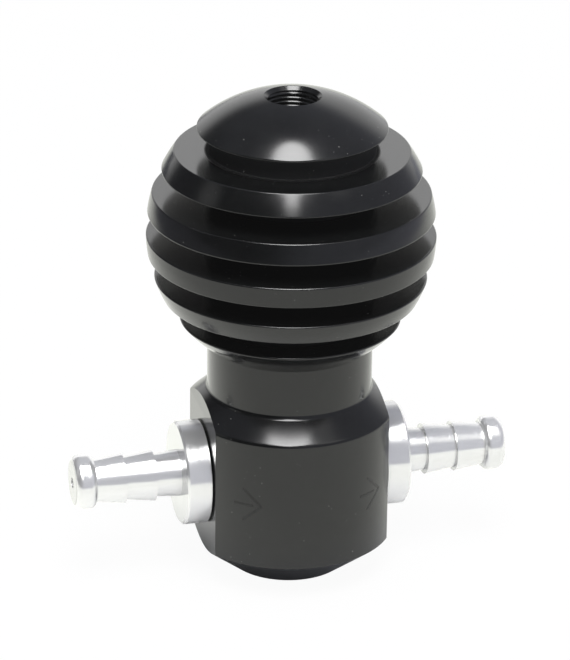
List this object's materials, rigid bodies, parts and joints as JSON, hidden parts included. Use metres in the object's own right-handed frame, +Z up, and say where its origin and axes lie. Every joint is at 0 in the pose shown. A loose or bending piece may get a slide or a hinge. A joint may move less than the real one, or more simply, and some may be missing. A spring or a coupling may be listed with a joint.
{
  "type": "manual boost controller",
  "caption": "In-line ball-and-spring boost controller with a grooved ball head, a socket set screw in its top and a hose barb on each side of its barrel.",
  "frame": {"origin": "centre of the flat foot, on the axis of the housing, at the lowest point", "axes": "+Z up along the axis of the housing, +X along the outlet barb (the way the air flows), -Y towards the front that carries the flow arrows"},
  "size_m": [0.062, 0.04, 0.0695],
  "materials": {
    "black_anodised": "turned, fine black anodised, satin",
    "bright_aluminium": "turned and polished bright",
    "brass": "turned",
    "ball_steel": "polished bearing steel",
    "spring_steel": "drawn wire",
    "screw_steel": "black oxide",
    "nylon": "moulded nylon",
    "seal_rubber": "matt black rubber"
  },
  "bodies": {
    "housing": {"body": "black_anodised", "spring": "spring_steel", "inlet_barb": "bright_aluminium", "inlet_seal": "seal_rubber", "outlet_barb": "bright_aluminium", "outlet_seal": "seal_rubber"},
    "piston": {"spring_piston": "brass", "piston_seal": "seal_rubber"},
    "screw": {"adjuster_screw": "screw_steel", "locking_pellet": "nylon"},
    "ball": {"valve_ball": "ball_steel"}
  },
  "joints": [
    {"name": "piston_slide", "type": "slide", "parent": "housing", "child": "piston", "axis": [0, 0, 1], "range_m": [-0.006, 0], "deforming": ["spring"]},
    {"name": "screw_turn", "type": "hinge", "parent": "piston", "child": "screw", "pos_m": [0, 0, 0.0615], "axis": [0, 0, 1], "range_deg": [-3600, 0]},
    {"name": "ball_lift", "type": "slide", "parent": "housing", "child": "ball", "axis": [0, 0, 1], "range_m": [0, 0.0012], "stiffness_N_per_m": 1000, "springref_m": -0.003}
  ],
  "couplings": [
    {"joint": "screw_turn", "follows": "piston_slide", "rad_per_m": 10472}
  ]
}
